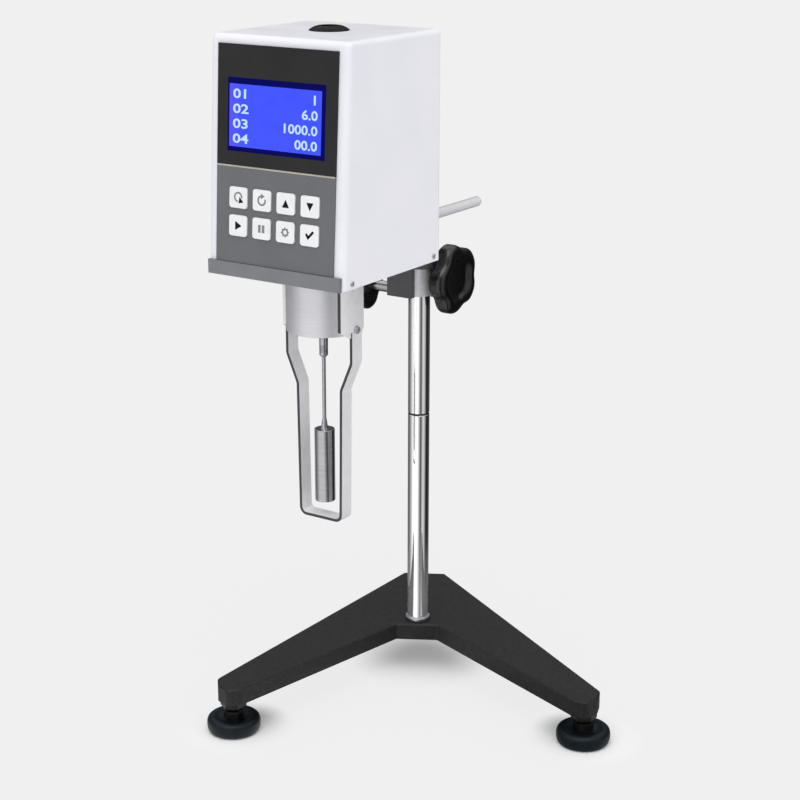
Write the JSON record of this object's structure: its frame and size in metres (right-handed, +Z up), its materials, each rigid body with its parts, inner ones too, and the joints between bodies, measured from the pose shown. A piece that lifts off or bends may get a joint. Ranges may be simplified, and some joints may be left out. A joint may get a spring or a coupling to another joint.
{
  "type": "rotational viscometer",
  "caption": "Digital rotational viscometer: tilted-front display head on a rack-lift clamp and swivelling column, V-shaped base with levelling feet, rotor inside a bent guard.",
  "frame": {"origin": "on the floor under the foot pads, in the middle of the overall footprint", "axes": "+Z up; the display faces -Y; +X is to the right of a person who reads the display; the base is turned 29.2 degrees about +Z under the head"},
  "size_m": [0.2706, 0.3072, 0.515],
  "materials": {
    "white_paint": "semi-gloss white powder coat",
    "dark_panel": "satin dark grey overlay",
    "grey_panel": "satin mid grey overlay",
    "ledge_grey": "satin grey paint",
    "display_lens": "blue lit display behind a clear lens",
    "board_green": "circuit board lacquer",
    "key_white": "white key caps",
    "black_plastic": "glossy black moulding",
    "black_socket": "matte black moulding",
    "vial_glass": "level vial",
    "casting_black": "fine textured black paint",
    "foot_rubber": "dark rubber",
    "dark_steel": "blackened steel",
    "column_chrome": "polished chrome",
    "satin_aluminium": "satin turned aluminium",
    "grey_clamp": "grey painted die casting",
    "bright_steel": "ground stainless steel",
    "sheet_steel": "plated sheet steel",
    "brass": "turned brass"
  },
  "bodies": {
    "base": {"base_casting": "casting_black", "foot_lock_nuts": "dark_steel"},
    "foot_left": {"foot_pad_left": "foot_rubber", "foot_stud_left": "dark_steel"},
    "foot_right": {"foot_pad_right": "foot_rubber", "foot_stud_right": "dark_steel"},
    "foot_rear": {"foot_pad_rear": "foot_rubber", "foot_stud_rear": "dark_steel"},
    "column": {"lower_column": "column_chrome", "column_foot_ring": "column_chrome", "column_bolt": "dark_steel", "column_joint_ring": "black_socket", "upper_column": "column_chrome"},
    "clamp": {"clamp_body": "grey_clamp", "clamp_liner": "satin_aluminium", "pinion_bush": "brass", "brake_shoe": "brass"},
    "lift_wheel": {"lift_knob": "black_plastic", "lift_pinion": "bright_steel"},
    "lock_wheel": {"lock_knob": "black_plastic", "lock_screw": "bright_steel"},
    "rod_lock": {"rod_thumb_screw": "bright_steel"},
    "head": {"head_rod": "bright_steel", "rod_nut": "sheet_steel", "head_cover": "white_paint", "front_ledge": "ledge_grey", "display_panel": "dark_panel", "display_window": "display_lens", "display_module": "board_green", "keypad_panel": "grey_panel", "keypad_board": "board_green", "level_bezel": "black_plastic", "level_vial": "vial_glass", "chassis_plate": "sheet_steel", "spindle_housing": "satin_aluminium", "pivot_bearing": "brass", "guard": "bright_steel", "motor": "dark_steel", "motor_bridge": "sheet_steel", "slot_sensor": "black_socket", "main_board": "board_green", "power_inlet": "black_socket", "switch_frame": "black_socket", "probe_socket": "satin_aluminium"},
    "spindle": {"coupling": "bright_steel", "rotor": "bright_steel", "pivot_shaft": "bright_steel", "lower_disc": "sheet_steel", "hairspring": "brass"},
    "drive": {"drive_hub": "bright_steel", "upper_disc": "sheet_steel"},
    "rocker": {"switch_rocker": "black_plastic"},
    "key_auto": {"key_auto": "key_white"},
    "key_return": {"key_return": "key_white"},
    "key_up": {"key_up": "key_white"},
    "key_down": {"key_down": "key_white"},
    "key_run": {"key_run": "key_white"},
    "key_pause": {"key_pause": "key_white"},
    "key_setup": {"key_setup": "key_white"},
    "key_confirm": {"key_confirm": "key_white"}
  },
  "joints": [
    {"name": "foot_left_turn", "type": "hinge", "parent": "base", "child": "foot_left", "pos_m": [-0.1117, -0.13359, 0.016], "axis": [0, 0, 1], "range_deg": [-180, 180]},
    {"name": "foot_right_turn", "type": "hinge", "parent": "base", "child": "foot_right", "pos_m": [0.11526, -0.00674, 0.016], "axis": [0, 0, 1], "range_deg": [-180, 180]},
    {"name": "foot_rear_turn", "type": "hinge", "parent": "base", "child": "foot_rear", "pos_m": [-0.09189, 0.09744, 0.016], "axis": [0, 0, 1], "range_deg": [-180, 180]},
    {"name": "column_swivel", "type": "hinge", "parent": "base", "child": "column", "pos_m": [-0.05676, 0.03459, 0.041], "axis": [0, 0, 1], "range_deg": [-60, 60]},
    {"name": "lift", "type": "slide", "parent": "column", "child": "clamp", "axis": [0, 0, 1], "range_m": [-0.08, 0.02]},
    {"name": "lift_knob_turn", "type": "hinge", "parent": "clamp", "child": "lift_wheel", "pos_m": [-0.05676, 0.04889, 0.32], "axis": [1, 0, 0], "range_deg": [-545, 140]},
    {"name": "lock_knob_turn", "type": "hinge", "parent": "clamp", "child": "lock_wheel", "pos_m": [-0.08676, 0.02959, 0.311], "axis": [1, 0, 0], "range_deg": [-360, 360]},
    {"name": "rod_screw_turn", "type": "hinge", "parent": "clamp", "child": "rod_lock", "pos_m": [-0.09176, 0.03659, 0.358], "axis": [1, 0, 0], "range_deg": [-360, 360]},
    {"name": "head_reach", "type": "slide", "parent": "clamp", "child": "head", "axis": [0, 1, 0], "range_m": [-0.06, 0.012]},
    {"name": "rotor_spin", "type": "hinge", "parent": "head", "child": "spindle", "pos_m": [-0.07726, -0.06141, 0.349], "axis": [0, 0, 1], "continuous": true},
    {"name": "drive_spin", "type": "hinge", "parent": "head", "child": "drive", "pos_m": [-0.07726, -0.06141, 0.426], "axis": [0, 0, 1], "continuous": true},
    {"name": "key_auto_press", "type": "slide", "parent": "head", "child": "key_auto", "axis": [0, 0.9982, -0.0605], "range_m": [0, 0.0007], "stiffness_N_per_m": 1500, "springref_m": -0.0004},
    {"name": "key_return_press", "type": "slide", "parent": "head", "child": "key_return", "axis": [0, 0.9982, -0.0605], "range_m": [0, 0.0007], "stiffness_N_per_m": 1500, "springref_m": -0.0004},
    {"name": "key_up_press", "type": "slide", "parent": "head", "child": "key_up", "axis": [0, 0.9982, -0.0605], "range_m": [0, 0.0007], "stiffness_N_per_m": 1500, "springref_m": -0.0004},
    {"name": "key_down_press", "type": "slide", "parent": "head", "child": "key_down", "axis": [0, 0.9982, -0.0605], "range_m": [0, 0.0007], "stiffness_N_per_m": 1500, "springref_m": -0.0004},
    {"name": "key_run_press", "type": "slide", "parent": "head", "child": "key_run", "axis": [0, 0.9982, -0.0605], "range_m": [0, 0.0007], "stiffness_N_per_m": 1500, "springref_m": -0.0004},
    {"name": "key_pause_press", "type": "slide", "parent": "head", "child": "key_pause", "axis": [0, 0.9982, -0.0605], "range_m": [0, 0.0007], "stiffness_N_per_m": 1500, "springref_m": -0.0004},
    {"name": "key_setup_press", "type": "slide", "parent": "head", "child": "key_setup", "axis": [0, 0.9982, -0.0605], "range_m": [0, 0.0007], "stiffness_N_per_m": 1500, "springref_m": -0.0004},
    {"name": "key_confirm_press", "type": "slide", "parent": "head", "child": "key_confirm", "axis": [0, 0.9982, -0.0605], "range_m": [0, 0.0007], "stiffness_N_per_m": 1500, "springref_m": -0.0004},
    {"name": "power_rock", "type": "hinge", "parent": "head", "child": "rocker", "pos_m": [-0.04626, 0.00359, 0.388], "axis": [0, 0, 1], "range_deg": [0, 14]}
  ],
  "couplings": [
    {"joint": "lift_knob_turn", "follows": "lift", "rad_per_m": 117.65},
    {"joint": "drive_spin", "follows": "rotor_spin", "ratio": 1}
  ]
}
